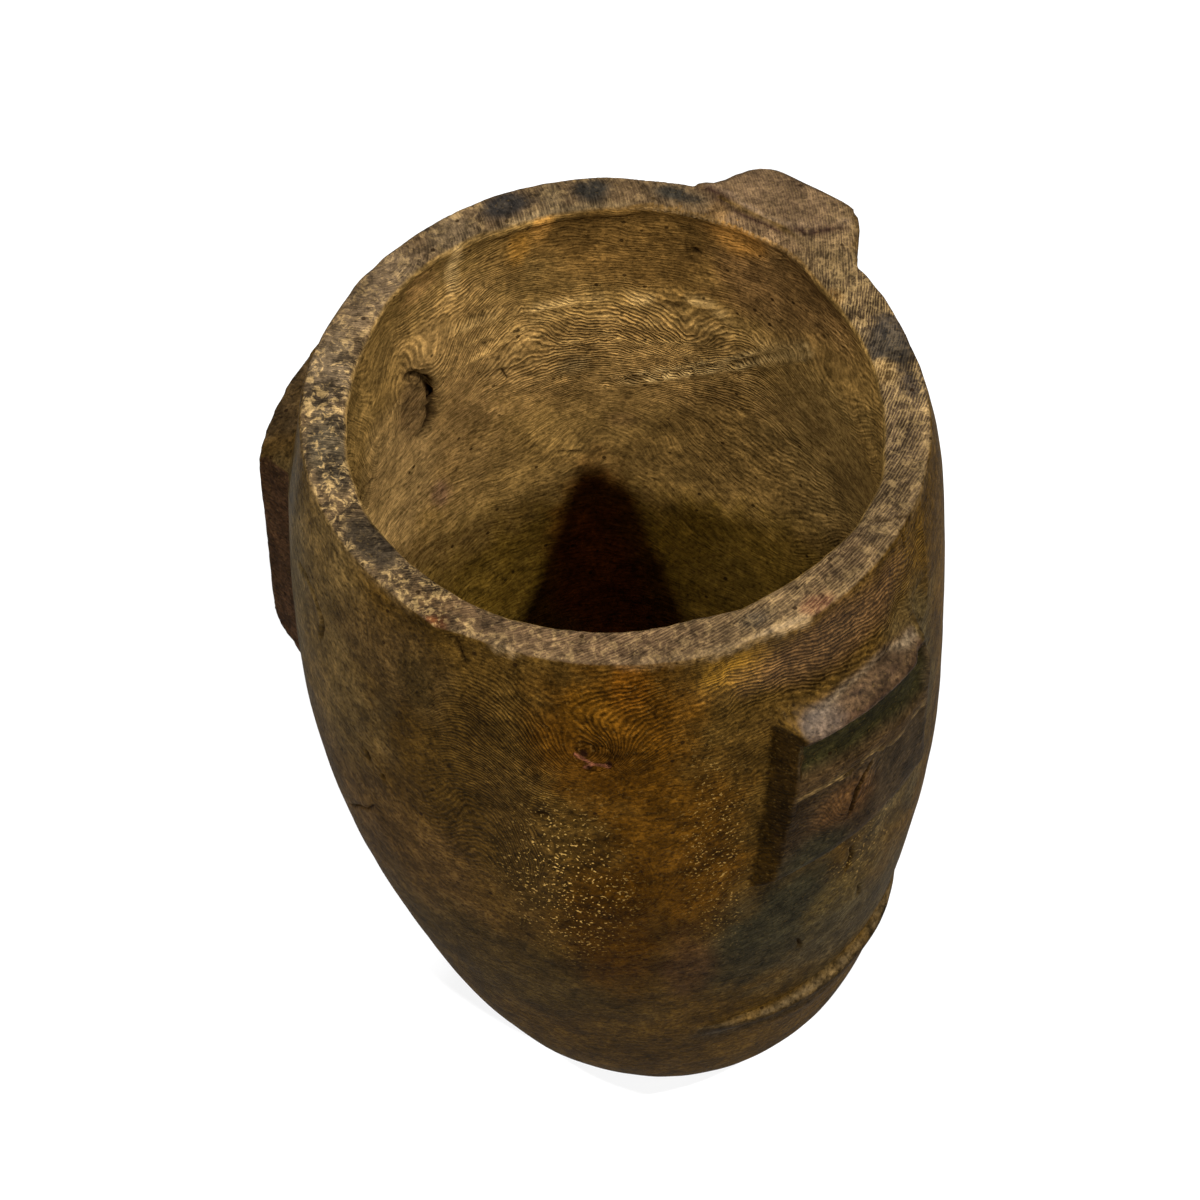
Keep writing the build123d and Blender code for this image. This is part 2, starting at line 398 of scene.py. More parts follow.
hollowShare = hollowShare * smoothStep(31, 27, np.abs(side))
move -= onFace * hollowShare * (2.9 + 0.5 * ripple(points, 6, 33))
below = depth - streakLow
move -= onFace * smoothStep(-0.5, 0.7, below) * np.exp(-np.maximum(below, 0) / 15) * 1.9
# the bar bulges a little, and a dip runs above it
bar = outside * (np.abs(side) < 27) * (proud > 0.5)
move += bar * 0.9 * np.exp(-((depth - 37.5) / 3.0) ** 2) * smoothStep(27, 22, np.abs(side))
move -= bar * 0.9 * np.exp(-((depth - barTop + 2.5) / 4.0) ** 2)
# the crest's far end is broken off
chipped = smoothStep(18, 26, side) * smoothStep(32, 36, depth) * smoothStep(52, 43, depth)
move -= outside * (np.abs(side) < 45) * chipped * 3.2 * (0.8 + 0.4 * ripple(points, 4, 34))
# foot ledges: a worn raised band, and a groove under it
for azimuth in (347.5, 195.0):
    reach = smoothStep(34, 20, np.abs(turnFrom(spot, azimuth)))
    drop = depth - pail["ledge"]
    move += outside * reach * (0.7 * np.exp(-((drop - 3.5) / 3.2) ** 2) - 1.5 * np.exp(-((drop - 11) / 3.6) ** 2))
    move -= outside * reach * 0.9 * np.exp(-((drop + 3) / 3.0) ** 2)
# a fine check runs across the rim's top
checkAt = 3.9 + 0.4 * (spot["radius"] - 90) + 0.5 * np.sin(spot["radius"] / 1.4)
rimCheck = np.exp(-(across(spot, 0) - np.radians(checkAt) * spot["radius"]) ** 2 / 0.5) * (depth < 4) * smoothStep(88, 90, spot["radius"])
# serrated mouth edge at the back, where the wood broke out between the growth rings
teeth = smoothStep(4, 1.2, spot["depth"]) * smoothStep(92, 89, spot["radius"]) * inside
teeth = teeth * smoothStep(76, 84, spot["azimuth"]) * smoothStep(122, 112, spot["azimuth"])
move += teeth * 0.5 * np.sin(points[:, 0] / 1.15 * 2 * math.pi)
points = points + spot["outward"] * move[:, None]
# a slanted cut along the mouth's edge at the back left
slant = smoothStep(117, 123, spot["azimuth"]) * smoothStep(156, 149, spot["azimuth"])
points[:, 2] -= slant * (spot["depth"] < 6) * smoothStep(91, 86.5, spot["radius"]) * 1.6

# the lug narrows to its outer corner, and a curved step marks where it rises from the rim
lugAcross = -spot["outX"]
lugOut = spot["outY"]
onLug = smoothStep(96, 101, lugOut) * (np.abs(lugAcross) < 40) * (depth < 60) * outside
wanted = np.interp(lugOut, (95, 98, 102, 108.5, 112, 115, 117, 118.7), (28.5, 28, 27, 24, 21.6, 18.2, 14.6, 10.1))
solid = np.interp(lugOut, (95, 107.5, 112, 115, 117, 118.5), (32.0, 25.4, 22.6, 19.4, 16.0, 9.5))
squeeze = np.where(lugAcross > 0, np.minimum(wanted / solid, 1), 1)
points[:, 0] += onLug * lugAcross * (1 - squeeze)
stepLine = np.interp(lugAcross, (-22, -19, -17, -14, -8, -2, 3, 9, 16, 24), (116, 108, 104.5, 101, 97.3, 94.4, 93.5, 93.8, 94.8, 96.7))
lugTop = smoothStep(0.5, 0.9, normals[:, 2]) * (depth < 4) * (np.abs(lugAcross) < 34) * (lugOut > 0)
stepReach = lugOut - stepLine - 0.5 * ripple(points, 3, 39)
points[:, 2] -= lugTop * 1.3 * smoothStep(1.0, -1.0, stepReach) * smoothStep(-16, -3, stepReach)
lugStepShade = lugTop * np.exp(-((stepReach + 0.6) / 1.9) ** 2)
lugSkin = lugTop * smoothStep(0, 2, stepReach)

print("pail: tool marks and cracks")
setPoints(carvedPail, points)
normals = readPoints(carvedPail, "normal")
spot = placeOf(points)
inside, outside, depth = spot["inside"], ~spot["inside"], spot["depth"]
rimTop = smoothStep(0.5, 0.8, normals[:, 2]) * smoothStep(6, 4, depth)
plain = smoothStep(1.0, 6.0, edgeReach)
lift = 0.40 * ripple(points, 46, 1) + 0.22 * ripple(points, 19, 2) + 0.11 * ripple(points, 7, 3)
stretched = points * np.array([1, 1, 2.6])
lift += inside * plain * (0.45 * ripple(stretched, 26, 4) + 0.24 * ripple(stretched, 10, 5))
lift += (rimTop > 0.5) * (0.35 * ripple(points, 22, 6) + 0.18 * ripple(points, 5, 7))

# under the neck of the hollow a rough wavy band starts, with a long score line below it
bandEdge = np.interp(spot["azimuth"], (60, 80, 90, 96, 103, 109, 118, 127, 143, 156, 170, 190),
                     (30, 46, 57, 55, 49, 47.5, 51, 52, 50, 48, 44, 36))
bandStart = depth - bandEdge - 1.8 * ripple(points, 9, 8)
backWall = inside * smoothStep(176, 150, spot["azimuth"]) * smoothStep(82, 95, spot["azimuth"])
lift += backWall * (1.3 * np.exp(-(bandStart / 1.5) ** 2) - 1.1 * np.exp(-((bandStart + 4.0) / 3.0) ** 2))
waves = np.sin((depth + 4.5 * ripple(points, 22, 9)) / 5.2 * 2 * math.pi)
lift += backWall * 0.55 * waves * np.exp(-((bandStart - 18) / 17) ** 2)
scoreLine = [(127.3, 98.6), (119.5, 95), (110.6, 88.9), (101.3, 78.9), (90.9, 65.3), (79, 47)]
score, scoreAlong = lineDistance(spot, scoreLine, 94)
lift += inside * (0.9 * np.exp(-((score - 2.4) / 1.4) ** 2) - 1.3 * np.exp(-(score / 1.1) ** 2))

crackShade = np.zeros(len(points))
jitter = 1 + 0.35 * ripple(points, 2.4, 11)
for cracks, onSide, radius in ((outsideCracks, outside, 108), (insideCracks, inside, 94)):
    for crack in cracks:
        distance, share = lineDistance(spot, crack["line"], radius)
        taper = np.sqrt(np.clip(1 - (2 * share - 1) ** 4, 0.02, 1))
        cut = onSide * taper * np.exp(-(distance / (crack["width"] * jitter)) ** 2)
        lift -= crack["cut"] * cut
        crackShade = np.maximum(crackShade, cut)
knotDish = inside * patch(spot, 173.5, 74, 8, 17, 0.5)
lift -= knotDish * 1.6
frontDish = outside * patch(spot, 300.3, 40.5, 9, 7, 0.6)
lift -= frontDish * (0.2 + 0.4 * ripple(points, 2.4, 12))
lift *= smoothStep(0.5, 6, points[:, 2])      # the base stays flat to stand on
points = points + normals * lift[:, None]
points = np.clip(points, np.array(cadLow) / mm, np.array(cadHigh) / mm)
setPoints(carvedPail, points)
print("pail triangles:", sum(len(p.vertices) - 2 for p in carvedPail.data.polygons))

print("pail: painted layers")
# swirls in the grain: inside or not, azimuth, depth, radius, height
swirls = [
    (True, 92, 168, 40, 36),
    (True, 178, 78, 24, 30),
    (True, 128, 122, 24, -22),
    (True, 108, 70, 16, 18),
    (True, 70, 60, 26, 24),
    (False, 297, 122, 36, 56),
    (False, 300, 40, 15, 24),
    (False, 262, 34, 22, 26),
    (False, 345, 96, 16, 20),
    (False, 40, 120, 30, 44),
    (False, 140, 90, 28, -40),
    (False, 215, 190, 26, 34),
    (False, 90, 150, 30, 44),
]
# places where the grain runs on a slant: inside or not, azimuth, depth, half width, half height, slope
slants = [
    (False, 284, 46, 24, 34, 0.9),
    (False, 275, 120, 20, 50, -1.3),
    (True, 156, 56, 22, 22, 0.9),
    (True, 196, 60, 18, 50, -1.2),
    (False, 348, 18, 50, 14, 0.12),
]
# where the grain lines stand out: inside or not, azimuth, depth, half width, half height, strength
openGrain = [
    (True, 118, 78, 60, 34, 1.0),
    (True, 84, 125, 50, 34, 0.55),
    (True, 160, 50, 34, 50, 0.7),
    (True, 60, 60, 40, 60, 0.5),
    (False, 284, 46, 22, 34, 1.0),
    (False, 282, 90, 26, 30, 0.7),
    (False, 304, 24, 20, 22, 0.9),
    (False, 348, 18, 56, 15, 1.1),
    (False, 325, 60, 14, 50, 0.4),
    (False, 345, 85, 30, 30, 0.5),
]
# azimuth, depth, half width, half height, colour, strength
outsideTones = [
    (240, 60, 40, 80, "#564426", 0.8),
    (262, 28, 26, 20, "#48361c", 0.8),
    (230, 150, 40, 70, "#3c2f1f", 0.8),
    # the next row is a painted sheen: a greyer band on the left wall beside the left panel
    (222, 60, 26, 70, "#4b432f", 0.35),
    (268, 30, 9, 14, "#2f230e", 0.7),
    (261, 52, 6, 9, "#352915", 0.7),
    (262, 150, 44, 60, "#48341a", 0.7),
    (276, 190, 60, 40, "#322610", 0.8),
    (286, 100, 16, 50, "#382810", 0.6),
    (304, 30, 28, 40, "#462a05", 0.9),
    (313, 90, 24, 60, "#3e2605", 0.9),
    (302, 140, 20, 54, "#2c1902", 0.9),
    (317, 106, 12, 24, "#402807", 0.8),
    (299, 18, 9, 12, "#523409", 0.8),
    (306, 10, 7, 10, "#523007", 0.7),
    (325, 10, 14, 8, "#5d410f", 0.9),
    (345, 14, 40, 12, "#49331c", 0.8),
    (333, 150, 26, 34, "#232014", 0.95),
    (326, 176, 30, 30, "#272214", 0.8),
    (314, 170, 10, 30, "#382311", 0.6),
    (345, 168, 16, 24, "#3f3217", 0.8),
    (352, 200, 40, 30, "#322c1e", 0.7),
    (0, 90, 30, 60, "#423a26", 0.7),
    (60, 90, 60, 80, "#392b14", 0.6),
    (140, 120, 60, 80, "#403014", 0.6),
    (100, 220, 60, 70, "#3a2c16", 0.6),
    (185, 210, 60, 60, "#332815", 0.6),
]
insideTones = [
    (115, 20, 60, 30, "#573e1b", 0.85),
    (84, 24, 34, 26, "#64492a", 0.6),
    (70, 100, 40, 60, "#65502c", 0.6),
    (124, 84, 60, 30, "#73572f", 0.7),
    (165, 80, 34, 60, "#83653a", 0.7),
    (183, 100, 26, 46, "#9a7a4a", 0.7),
    (120, 196, 220, 36, "#624a15", 0.9),
    (300, 150, 200, 200, "#5e4b26", 0.5),
    (82, 190, 36, 40, "#705722", 0.6),
    # the next row is painted shade: a redder, darker patch low on the far wall where the rim's shadows meet
    (132, 212, 20, 54, "#6e3c14", 0.75),
    (168, 132, 4, 8, "#6f5138", 0.8),
    (97, 10, 10, 9, "#93662c", 0.7),
    (140, 8, 4, 10, "#a17436", 0.9),
    (145, 18, 4, 10, "#8f6528", 0.7),
    (161, 12, 3, 16, "#a08251", 0.8),
    (171, 12, 8, 8, "#8f6b3c", 0.6),
    (120, 68, 8, 8, "#5a4322", 0.5),
    (134, 86, 6, 6, "#5c4c30", 0.5),
    (124, 122, 6, 5, "#5a4226", 0.5),
]
# here the second number is mm from the rim's centre, and the fourth the reach in and out
rimTones = [
    (7, 93, 14, 7, "#352a1d", 0.7),
    (20, 92, 10, 9, "#3e3123", 0.8),
    (30, 92, 16, 9, "#46382a", 0.6),
    (40, 97, 6, 6, "#2a241f", 0.9),
    (50, 92, 12, 9, "#221f1b", 0.95),
    (44, 87, 5, 4, "#604929", 0.8),
    (56, 95, 6, 5, "#24201c", 0.9),
    (68, 92, 12, 9, "#4a3b28", 0.7),
    (67.5, 86, 3.5, 3, "#694d28", 0.9),
    (92, 90, 18, 5, "#55412d", 0.7),
    (102, 92, 3, 10, "#604626", 0.7),
    (93, 108, 26, 12, "#513f2d", 0.8),
    (112, 96, 9, 5, "#22201b", 0.95),
    (129, 95, 7, 6, "#1f1d19", 0.97),
    (137, 95, 4, 7, "#4c3f2c", 0.8),
    (147, 95, 10, 6, "#1f1d1b", 0.97),
    (136, 88, 24, 2.6, "#5d4d35", 0.8),
    (160, 93, 9, 8, "#5b4b36", 0.8),
    (180, 93, 20, 9, "#534432", 0.8),
    (205, 93, 20, 9, "#514433", 0.8),
    (226, 93, 18, 8, "#3b3427", 0.8),
    (250, 93, 16, 8, "#262018", 0.9),
    (270, 94, 10, 9, "#503c26", 0.8),
    (271, 101, 4, 3, "#6c3d1f", 0.8),
    (300, 93, 44, 9, "#493726", 0.8),
    (331, 93, 7, 4, "#2e2820", 0.8),
    (332, 100, 10, 2.4, "#64543f", 0.7),
    (342, 98.5, 6, 3, "#563323", 0.7),
    (352, 92, 12, 8, "#34271a", 0.7),
]


def wallGrainOf(spot):
    points, inside = spot["points"], spot["inside"]
    grain = points[:, 2] + 6.0 * ripple(points, 38, 22) + 2.4 * ripple(points, 13, 23) + 0.9 * ripple(points, 6, 24)
    for isInside, azimuth, depth, wide, tall, slope in slants:
        grain += (inside == isInside) * slope * across(spot, azimuth) * patch(spot, azimuth, depth, wide, tall, 0.7)
    for isInside, azimuth, depth, radius, height in swirls:
        reach = np.hypot(across(spot, azimuth), spot["depth"] - depth) / radius
        grain += (inside == isInside) * height * np.exp(-reach ** 2)
    return grain


def mixTones(base, patches, spot, reachOf):
    colours = np.tile(linearColour(base)[:3], (len(spot["depth"]), 1))
    wander = 0.22 * ripple(spot["points"], 15, 41) + 0.16 * ripple(spot["points"], 5, 42)
    for azimuth, place, wide, tall, hexColour, strength in patches:
        reach = np.hypot(across(spot, azimuth) / wide, (reachOf - place) / tall) + wander
        share = strength * (1 - smoothStep(0.5, 1.3, reach))
        colours += (np.array(linearColour(hexColour)[:3]) - colours) * share[:, None]
    return colours


def tint(colours, share, hexColour):
    return colours + (np.array(linearColour(hexColour)[:3]) - colours) * share[:, None]


wood = {
    "outside": "#3d2b0e",
    "inside": "#70562c",
    "rim": "#493926",
    "lineSpacing": 1.5,       # mm between grain lines on the walls
    "rimSpacing": 0.92,       # mm between growth rings on the rim
    "fibre": 0.9,
    "blotch": 9.0,
    "pore": 1.6,
    "fleckColour": "#836b44",
    "blackColour": "#1e1914",
    "crackColour": "#160c04",
    "resinGlintColour": "#b8924e",
    "speck": 1.1,             # mm between the resin specks where they are thick
    "roughInside": 0.75,
    "roughOutside": 0.5,
    "specular": 0.005,
    "polish": 0.12,           # weight of the polished film where hands held it
}


def paintWood(piece, spot, rimTop, crackShade, skin, wallTone, rimTone):
    # the layers that the wood's material reads
    points, inside, depth = spot["points"], spot["inside"], spot["depth"]
    outside = ~inside
    shiftX, shiftY = axisShift(0)
    turn = math.radians(pail["pithAzimuth"])
    pithX, pithY = shiftX + pail["pithReach"] * math.cos(turn), shiftY + pail["pithReach"] * math.sin(turn)
    paint(piece, "wallGrain", wallGrainOf(spot))
    paint(piece, "rimGrain", np.hypot(points[:, 0] - pithX, points[:, 1] - pithY) + 0.8 * ripple(points, 14, 21))
    paint(piece, "rimTop", rimTop)
    # tan lines and flecks are worn off where the rim is blackened
    clean = 0.12 + 0.88 * smoothStep(0.018, 0.034, rimTone.mean(1))
    paint(piece, "ringShare", clean * along(pail["ringShare"], spot["azimuth"]))
    paint(piece, "fleckShare", clean * along(pail["fleckShare"], spot["azimuth"]))
    paint(piece, "fibreShare", np.where(inside, 0.9, 0.5) * (1 - 0.6 * skin))
    paint(piece, "hollow", inside.astype(float))
    paint(piece, "crackShade", crackShade)
    lines = np.where(inside, 0.3, 0.15)
    for isInside, azimuth, place, wide, tall, strength in openGrain:
        lines = np.maximum(lines, (inside == isInside) * strength * patch(spot, azimuth, place, wide, tall, 0.5))
    paint(piece, "openGrain", lines)
    glossy = 0.4 * patch(spot, 347, 36, 30, 6) + 0.7 * patch(spot, 335, 12, 30, 10) + 0.4 * patch(spot, 222, 20, 8, 30)
    paint(piece, "glossy", np.clip(outside * glossy, 0, 1))
    specks = patch(spot, 294, 112, 17, 38, 0.7) + 0.4 * patch(spot, 320, 100, 10, 50) + 0.4 * patch(spot, 352, 140, 16, 24) + 0.05
    paint(piece, "specks", np.clip(outside * specks, 0, 1))
    paintColour(piece, "tone", wallTone)
    paintColour(piece, "rimTone", rimTone)


spot = placeOf(points)
normals = readPoints(carvedPail, "normal")
outsideTone = mixTones(wood["outside"], outsideTones, spot, depth)
insideTone = mixTones(wood["inside"], insideTones, spot, depth)
rimTone = mixTones(wood["rim"], rimTones, spot, spot["radius"])

# painted shade on the panels' side faces and in the hollow under the bar, the pale worn streak with a painted highlight
# along its lower edge, and the bar above it with a painted highlight along its top edge
sideways = np.stack([-spot["outward"][:, 1], spot["outward"][:, 0], 0 * depth], 1)
sideFacing = np.abs((normals * sideways).sum(1))
side = across(spot, panels["right"]["azimuth"])
leftSide = across(spot, panels["left"]["azimuth"])
overPanel = ((np.abs(side) < 46) | (np.abs(leftSide) < 46)) & (depth > 38) & (depth < 132)
sideEdge = 0.30 + 0.22 * ripple(points, 4, 46) + 2 * smoothStep(10, 16, side) * (side < 60)
shadedSideFace = outside * overPanel * smoothStep(sideEdge - 0.1, sideEdge + 0.1, sideFacing)
face = outside * smoothStep(3.0, 5.5, np.maximum(spot["radius"] - spot["wall"], 0) + 2) * (np.abs(side) < 36) * (depth > 40.5) * (depth < 124)
outsideTone = tint(outsideTone, face * 0.85, "#291f14")
outsideTone = tint(outsideTone, face * patch(spot, 343, 92, 12, 11) * 0.8, "#452e17")
outsideTone = tint(outsideTone, face * patch(spot, 337, 112, 14, 12) * 0.8, "#252215")
# painted shade on the side faces of the right and the left panel
outsideTone = tint(outsideTone, shadedSideFace * 0.9 * (np.abs(side) < 60), "#1b1002")
outsideTone = tint(outsideTone, shadedSideFace * 0.9 * (np.abs(leftSide) < 60), "#342215")
onFace = onFace * (1 - shadedSideFace)
streak = onFace * smoothStep(streakTop - 2, streakTop + 2, depth) * smoothStep(streakLow + 0.5, streakLow - 1.5, depth)
# painted shade in the hollow under the bar
outsideTone = tint(outsideTone, onFace * hollowShare * 0.95, "#1b1809")
outsideTone = tint(outsideTone, streak * 0.8, "#372815")
# painted highlight along the streak's lower edge
outsideTone = tint(outsideTone, onFace * np.exp(-((depth - streakLow + 1.4) / 1.5) ** 2) * 0.85, "#715a35")
onBar = outside * smoothStep(28, 26, np.abs(side)) * smoothStep(barTop, barTop + 3, depth) * smoothStep(41.8, 40.6, depth)
outsideTone = tint(outsideTone, onBar * 0.9, "#392a1b")
# painted highlight along the bar's top edge
barEdgeHighlight = onBar * np.exp(-((depth - barTop - 3.2) / 1.1) ** 2) * (0.6 + 0.4 * ripple(points, 7, 47))
outsideTone = tint(outsideTone, barEdgeHighlight * 0.85, "#675843")
alongBar = np.stack([side / 6, depth, 0 * depth], 1)
outsideTone = tint(outsideTone, onBar * smoothStep(0.0, 0.5, ripple(alongBar, 1.3, 60)) * 0.7, "#261a11")
outsideTone = tint(outsideTone, onBar * smoothStep(37.5, 40, depth) * 0.7, "#312216")
# a painted glint near the bar's left end
barGlint = outside * patch(spot, 337, 37, 8, 4) * onBar
outsideTone = tint(outsideTone, barGlint * 0.3, "#64574b")
leftBar = outside * smoothStep(30, 14, np.abs(leftSide)) * smoothStep(30, 37, depth) * smoothStep(42, 39.5, depth)
outsideTone = tint(outsideTone, leftBar * (0.5 + 0.35 * ripple(points, 6, 61)), "#4a3b28")
outsideTone = tint(outsideTone, frontDish * 0.35, "#3a2309")
# the ledges: a painted highlight along the step's edge, broken where worn, painted shade in the groove under it and a
# second broken painted highlight below it
for azimuth in (347.5, 195.0):
    reach = outside * smoothStep(37, 28, np.abs(turnFrom(spot, azimuth)))
    drop = depth - pail["ledge"] - 0.8 * ripple(points, 9, 48)
    outsideTone = tint(outsideTone, reach * smoothStep(0.6, 1.6, drop) * smoothStep(20, 13, drop) * 0.85, "#271f14")
    worn = 0.45 + 0.55 * smoothStep(-0.4, 0.3, ripple(points, 5, 49))
    outsideTone = tint(outsideTone, reach * worn * np.exp(-((drop + 0.2) / 0.9) ** 2) * 0.7, "#53452f")
    outsideTone = tint(outsideTone, reach * worn * np.exp(-((drop - 7.5) / 0.9) ** 2) * 0.5, "#544733")
# painted shade in the shallow dish round the side knot
insideTone = tint(insideTone, knotDish * 0.75, "#4a3720")
# painted highlight along the edge where the rough band starts
bandEdgeHighlight = backWall * np.exp(-((bandStart + 0.2) / 1.3) ** 2) * smoothStep(-0.2, 0.4, ripple(points, 9, 44))
insideTone = tint(insideTone, np.clip(bandEdgeHighlight, 0, 1) * 0.8, "#a88751")
# painted shade in the step under that edge
underBandShade = backWall * np.exp(-((bandStart + 3.4) / 1.4) ** 2)
insideTone = tint(insideTone, np.clip(underBandShade, 0, 1) * 0.5, "#4a3719")
# painted highlight on the score line's raised lips, painted shade in its groove
scoreHighlight = inside * np.exp(-((score - 2.0) / 1.0) ** 2) * smoothStep(0, 0.2, scoreAlong)
insideTone = tint(insideTone, scoreHighlight * 0.75, "#a88b58")
insideTone = tint(insideTone, inside * np.exp(-(score / 0.8) ** 2) * smoothStep(0, 0.2, scoreAlong) * 0.6, "#3a2a12")
waveShare = backWall * np.exp(-((bandStart - 18) / 17) ** 2) * smoothStep(0.2, 0.9, waves * (0.7 + 0.6 * ripple(points, 8, 45)))
insideTone = tint(insideTone, np.clip(waveShare, 0, 1) * 0.6, "#a28049")
# painted shade on the lug's step down to the rim, then a pale line along its upper edge
rimTone = tint(rimTone, lugStepShade * 0.95, "#251712")
rimTone = tint(rimTone, lugTop * np.exp(-((stepReach - 1.6) / 0.8) ** 2) * 0.6, "#6b5744")
wallTone = np.where(inside[:, None], insideTone, outsideTone)
# pale lines along the mouth's edge and in places along the outer corner: painted highlight and sheen on the edges, with
# pale broken fibres where the back of the mouth broke out
mouthLine = np.exp(-((spot["radius"] - along(pail["mouthEdge"], spot["azimuth"]) - 0.2) / 0.8) ** 2) * (depth < 3)
mouthLine = mouthLine * (0.35 + 0.65 * smoothStep(75, 84, spot["azimuth"]) * smoothStep(122, 112, spot["azimuth"]))
outerEdgeSheen = smoothStep(2.0, 0.6, edgeReach) * outside * (depth < 5) * smoothStep(0.0, 0.5, ripple(points, 12, 43))
outerEdgeSheen = outerEdgeSheen * np.clip(patch(spot, 285, 0, 16, 20) + patch(spot, 331, 0, 16, 20) + 0.25, 0, 1)
for colours in (rimTone, wallTone):
    colours[:] = tint(colours, np.clip(mouthLine + outerEdgeSheen, 0, 1) * 0.6, "#7a6446")
paintWood(carvedPail, spot, rimTop, np.maximum(crackShade ** 0.7, 0.8 * rimCheck), lugSkin, wallTone, rimTone)


def carvedWood(name, settings):
    material = bpy.data.materials.new(name)
    material.use_nodes = True
    tree = material.node_tree
    tree.nodes.clear()
    place = addNode(tree, "TexCoord")["Object"]
    parts = addNode(tree, "SeparateXYZ", {0: place})
    painted = {}
    for layer in ("rimTop", "hollow", "crackShade", "openGrain", "glossy", "specks", "wallGrain", "rimGrain",
                  "ringShare", "fleckShare", "fibreShare"):
        painted[layer] = addNode(tree, "Attribute", attribute_name=layer)["Fac"]
    tone = addNode(tree, "Attribute", attribute_name="tone")["Color"]
    rimTone = addNode(tree, "Attribute", attribute_name="rimTone")["Color"]
    rim = painted["rimTop"]

    # fine ridges that follow a painted layer: sine lines, and fibres stretched along them
    ridges, fibres = [], []
    for layer, spacing, bend, seed in (("wallGrain", settings["lineSpacing"], 0.55, 3.0), ("rimGrain", settings["rimSpacing"], 0.4, 7.0)):
        height = addNode(tree, "Math", {0: painted[layer], 1: mm}, operation="MULTIPLY")[0]
        flow = addNode(tree, "CombineXYZ", {0: parts[0], 1: parts[1], 2: height})[0]
        drift = addNode(tree, "TexNoise", {"Vector": flow, "W": seed, "Scale": 1 / (5 * mm), "Detail": 3.0},
                        noise_dimensions="4D")[0]
        phase = addNode(tree, "Math", {0: height, 1: 1 / (spacing * mm)}, operation="MULTIPLY")[0]
        phase = addNode(tree, "Math", {0: drift, 1: 4 * bend, 2: phase}, operation="MULTIPLY_ADD")[0]
        turns = addNode(tree, "Math", {0: phase, 1: 2 * math.pi}, operation="MULTIPLY")[0]
        ridges.append(addNode(tree, "Math", {0: turns}, operation="SINE")[0])
        stretch = addNode(tree, "Mapping", {"Vector": flow, "Scale": (0.16, 0.16, 1.0)})[0]
        fibres.append(addNode(tree, "TexNoise", {
            "Vector": stretch, "W": seed + 2, "Scale": 1 / (settings["fibre"] * mm), "Detail": 3.0,
            "Roughness": 0.65}, noise_dimensions="4D")[0])
    ridge = addNode(tree, "Mix", {0: rim, 2: ridges[0], 3: ridges[1]}, data_type="FLOAT")[0]
    fibre = addNode(tree, "Mix", {0: rim, 2: fibres[0], 3: fibres[1]}, data_type="FLOAT")[0]

    noises = {}
    for kind, size, seed, detail, twist in (("broad", 24, 1.0, 4.0, 0.0), ("blotch", settings["blotch"], 2.0, 5.0, 0.6),
                                            ("pore", settings["pore"], 3.0, 3.0, 0.0), ("fleck", 3.4, 4.0, 4.0, 1.0)):
        noises[kind] = addNode(tree, "TexNoise", {"Vector": place, "W": seed, "Scale": 1 / (size * mm), "Detail": detail,
                                                  "Roughness": 0.66, "Distortion": twist}, noise_dimensions="4D")[0]

    # rim: tan flecks and tan ring lines over grey-brown end grain, with blackened smears
    smear = addNode(tree, "MapRange", {"Value": noises["blotch"], "From Min": 0.50, "From Max": 0.58, "To Max": 0.7},
                    interpolation_type="SMOOTHSTEP")[0]
    smear = addNode(tree, "Math", {0: smear, 1: painted["fleckShare"]}, operation="MULTIPLY")[0]
    rimColour = addNode(tree, "Mix", {0: smear, 6: rimTone, 7: settings["blackColour"]}, data_type="RGBA")[2]
    fleck = addNode(tree, "MapRange", {"Value": noises["fleck"], "From Min": 0.50, "From Max": 0.60, "To Max": 0.75},
                    interpolation_type="SMOOTHSTEP")[0]
    fleck = addNode(tree, "Math", {0: fleck, 1: painted["fleckShare"]}, operation="MULTIPLY")[0]
    ring = addNode(tree, "Math", {0: ridges[1], 1: 0.16, 2: fibres[1]}, operation="MULTIPLY_ADD")[0]
    ring = addNode(tree, "MapRange", {"Value": ring, "From Min": 0.46, "From Max": 0.66, "To Max": 0.6},
                   interpolation_type="SMOOTHSTEP")[0]
    ring = addNode(tree, "Math", {0: ring, 1: painted["ringShare"]}, operation="MULTIPLY")[0]
    tan = addNode(tree, "Math", {0: fleck, 1: ring}, operation="MAXIMUM")[0]
    rimColour = addNode(tree, "Mix", {0: tan, 6: rimColour, 7: settings["fleckColour"]}, data_type="RGBA")[2]
    base = addNode(tree, "Mix", {0: rim, 6: tone, 7: rimColour}, data_type="RGBA")[2]

    # light and dark along the grain, blotches of smoke, dark pores
    lineShare = addNode(tree, "MapRange", {"Value": painted["openGrain"], "To Min": 0.0, "To Max": 0.30})[0]
    shade = addNode(tree, "Math", {0: ridge, 1: lineShare, 2: 1.0}, operation="MULTIPLY_ADD")[0]
    for value, low, high, dark, light in ((noises["blotch"], 0.36, 0.64, 1.28, 0.74), (noises["broad"], 0.38, 0.62, 0.82, 1.2),
                                          (noises["pore"], 0.32, 0.54, 0.55, 1.12), (noises["fleck"], 0.40, 0.62, 0.80, 1.22)):
        part = addNode(tree, "MapRange", {"Value": value, "From Min": low, "From Max": high, "To Min": dark, "To Max": light})[0]
        shade = addNode(tree, "Math", {0: shade, 1: part}, operation="MULTIPLY")[0]
